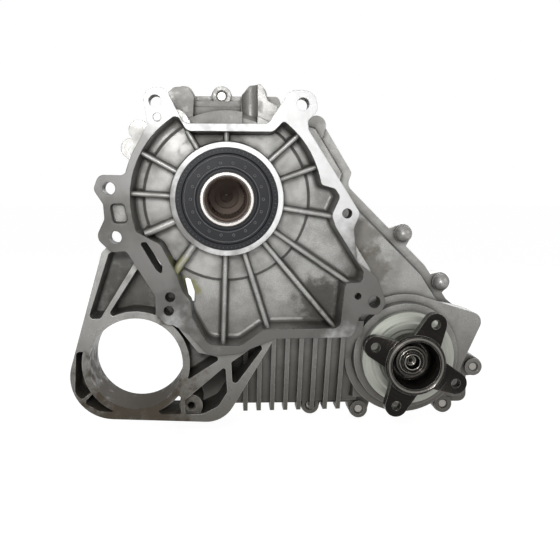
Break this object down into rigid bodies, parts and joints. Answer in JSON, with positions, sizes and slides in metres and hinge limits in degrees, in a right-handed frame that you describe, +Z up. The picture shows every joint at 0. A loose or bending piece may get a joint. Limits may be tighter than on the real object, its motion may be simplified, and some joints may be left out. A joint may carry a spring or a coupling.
{
  "type": "transfer case",
  "caption": "Cast transfer case with a ribbed front housing, hollow input shaft, chain-driven front output flange, oil pump, plate clutch with ball ramp, and a side bracket with a bush ring.",
  "frame": {"origin": "on the main shaft's axis, in the plane of the face that meets the gearbox", "axes": "+Y along the main shaft to the rear output, -Y towards the gearbox and the camera, +X to the side of the front output, +Z up"},
  "size_m": [0.4094, 0.2297, 0.3357],
  "materials": {
    "cast_aluminium": "sand-cast, bead-blasted grey",
    "pump_aluminium": "die-cast and machined",
    "actuator_aluminium": "die-cast",
    "zinc_bolts": "zinc plated",
    "black_rubber": "moulded black rubber",
    "spring_steel": "dark phosphated spring steel",
    "bearing_steel": "ground bearing steel",
    "ground_steel": "ground steel",
    "forged_steel": "dark phosphated, turned forging",
    "pressed_steel": "zinc-plated sheet steel",
    "gear_steel": "hardened steel",
    "sintered_steel": "sintered steel",
    "plate_steel": "flat ground steel",
    "friction_lining": "brown paper lining",
    "chain_steel": "oiled steel plates",
    "worm_steel": "rolled thread",
    "wheel_plastic": "natural nylon",
    "motor_steel": "black coated can",
    "black_plastic": "moulded",
    "breather_brass": "turned brass"
  },
  "bodies": {
    "housing": {"actuator_cover": "actuator_aluminium", "actuator_housing": "actuator_aluminium", "actuator_screws": "zinc_bolts", "breather": "breather_brass", "case_bolts": "zinc_bolts", "case_dowels": "zinc_bolts", "drain_plug": "zinc_bolts", "drive_chain": "chain_steel", "fill_plug": "zinc_bolts", "front_case": "cast_aluminium", "front_output_seal": "black_rubber", "input_bearing_outer_ring": "bearing_steel", "input_seal": "black_rubber", "input_snap_ring": "spring_steel", "lever_thrust_washer": "gear_steel", "motor_can": "motor_steel", "motor_connector": "black_plastic", "output_bearing_outer_ring": "bearing_steel", "output_snap_ring": "spring_steel", "pump_cover": "pump_aluminium", "pump_housing": "pump_aluminium", "pump_screws": "zinc_bolts", "rear_bearing_outer_ring": "bearing_steel", "rear_case": "cast_aluminium", "rear_output_seal": "black_rubber", "rear_snap_ring": "spring_steel", "tail_bearing_outer_ring": "bearing_steel"},
    "main_shaft_group": {"main_shaft": "ground_steel", "input_bearing_inner_ring": "bearing_steel", "rear_bearing_inner_ring": "bearing_steel", "pump_inner_rotor": "sintered_steel", "clutch_hub": "gear_steel", "friction_plates": "friction_lining", "rear_output_flange": "forged_steel", "rear_flange_nut": "forged_steel", "rear_dust_shield": "pressed_steel", "sprocket_needle_bearing": "bearing_steel"},
    "pump_ring_group": {"pump_outer_rotor": "sintered_steel"},
    "sprocket_drum_group": {"upper_sprocket": "gear_steel", "clutch_drum": "gear_steel", "steel_plates": "plate_steel"},
    "front_output_group": {"front_output_shaft": "ground_steel", "lower_sprocket": "gear_steel", "output_bearing_inner_ring": "bearing_steel", "tail_bearing_inner_ring": "bearing_steel", "front_output_flange": "forged_steel", "output_flange_nut": "forged_steel", "dust_shield": "pressed_steel"},
    "pressure_plate_group": {"pressure_plate": "gear_steel"},
    "thrust_bearing_group": {"thrust_bearing": "bearing_steel"},
    "front_lever_group": {"front_lever": "gear_steel"},
    "rear_lever_group": {"rear_lever": "gear_steel"},
    "front_roller_group": {"front_lever_roller": "gear_steel"},
    "rear_roller_group": {"rear_lever_roller": "gear_steel"},
    "ball_group": {"ramp_balls": "ground_steel"},
    "control_group": {"control_shaft": "ground_steel", "cam_disc": "gear_steel", "actuator_wheel": "wheel_plastic"},
    "worm_group": {"worm_shaft": "worm_steel"}
  },
  "joints": [
    {"name": "main_shaft_spin", "type": "hinge", "parent": "housing", "child": "main_shaft_group", "pos_m": [0, 0, 0], "axis": [0, 1, 0], "continuous": true},
    {"name": "pump_ring_spin", "type": "hinge", "parent": "housing", "child": "pump_ring_group", "pos_m": [-0.0025, 0.0479, 0], "axis": [0, 1, 0], "continuous": true},
    {"name": "front_output_spin", "type": "hinge", "parent": "housing", "child": "front_output_group", "pos_m": [0.17478, 0, -0.15463], "axis": [0, 1, 0], "continuous": true, "deforming": ["drive_chain"]},
    {"name": "clutch_drum_spin", "type": "hinge", "parent": "housing", "child": "sprocket_drum_group", "pos_m": [0, 0.068, 0], "axis": [0, 1, 0], "continuous": true},
    {"name": "pressure_plate_slide", "type": "slide", "parent": "sprocket_drum_group", "child": "pressure_plate_group", "axis": [0, -1, 0], "range_m": [0, 0.0012]},
    {"name": "thrust_bearing_slide", "type": "slide", "parent": "housing", "child": "thrust_bearing_group", "axis": [0, -1, 0], "range_m": [0, 0.0012]},
    {"name": "front_lever_swing", "type": "hinge", "parent": "thrust_bearing_group", "child": "front_lever_group", "pos_m": [0, 0.1383, 0], "axis": [0, -1, 0], "range_deg": [0, 6]},
    {"name": "rear_lever_swing", "type": "hinge", "parent": "housing", "child": "rear_lever_group", "pos_m": [0, 0.1487, 0], "axis": [0, -1, 0], "range_deg": [-6, 0]},
    {"name": "front_roller_spin", "type": "hinge", "parent": "front_lever_group", "child": "front_roller_group", "pos_m": [0.0737, 0.147, 0.04896], "axis": [0, -1, 0], "range_deg": [-330, 0]},
    {"name": "rear_roller_spin", "type": "hinge", "parent": "rear_lever_group", "child": "rear_roller_group", "pos_m": [0.08793, 0.147, 0.00987], "axis": [0, -1, 0], "range_deg": [-330, 0]},
    {"name": "ball_slide", "type": "slide", "parent": "housing", "child": "ball_group", "axis": [0, -1, 0], "range_m": [0, 0.0006]},
    {"name": "control_shaft_turn", "type": "hinge", "parent": "housing", "child": "control_group", "pos_m": [0.08081, 0.147, 0.02941], "axis": [0, -1, 0], "range_deg": [0, 110]},
    {"name": "worm_spin", "type": "hinge", "parent": "housing", "child": "worm_group", "pos_m": [0.10531, 0.1894, 0.02941], "axis": [0, 0, -1], "range_deg": [0, 4180]}
  ],
  "couplings": [
    {"joint": "pump_ring_spin", "follows": "main_shaft_spin", "ratio": 0.85714},
    {"joint": "clutch_drum_spin", "follows": "front_output_spin", "ratio": 1},
    {"joint": "worm_spin", "follows": "control_shaft_turn", "ratio": 38},
    {"joint": "front_lever_swing", "follows": "control_shaft_turn", "ratio": 0.054545},
    {"joint": "rear_lever_swing", "follows": "control_shaft_turn", "ratio": -0.054545},
    {"joint": "thrust_bearing_slide", "follows": "control_shaft_turn", "m_per_rad": 0.00062504},
    {"joint": "pressure_plate_slide", "follows": "control_shaft_turn", "m_per_rad": 0.00062504},
    {"joint": "ball_slide", "follows": "control_shaft_turn", "m_per_rad": 0.00031252},
    {"joint": "front_roller_spin", "follows": "control_shaft_turn", "ratio": -2.86},
    {"joint": "rear_roller_spin", "follows": "control_shaft_turn", "ratio": -2.86}
  ]
}
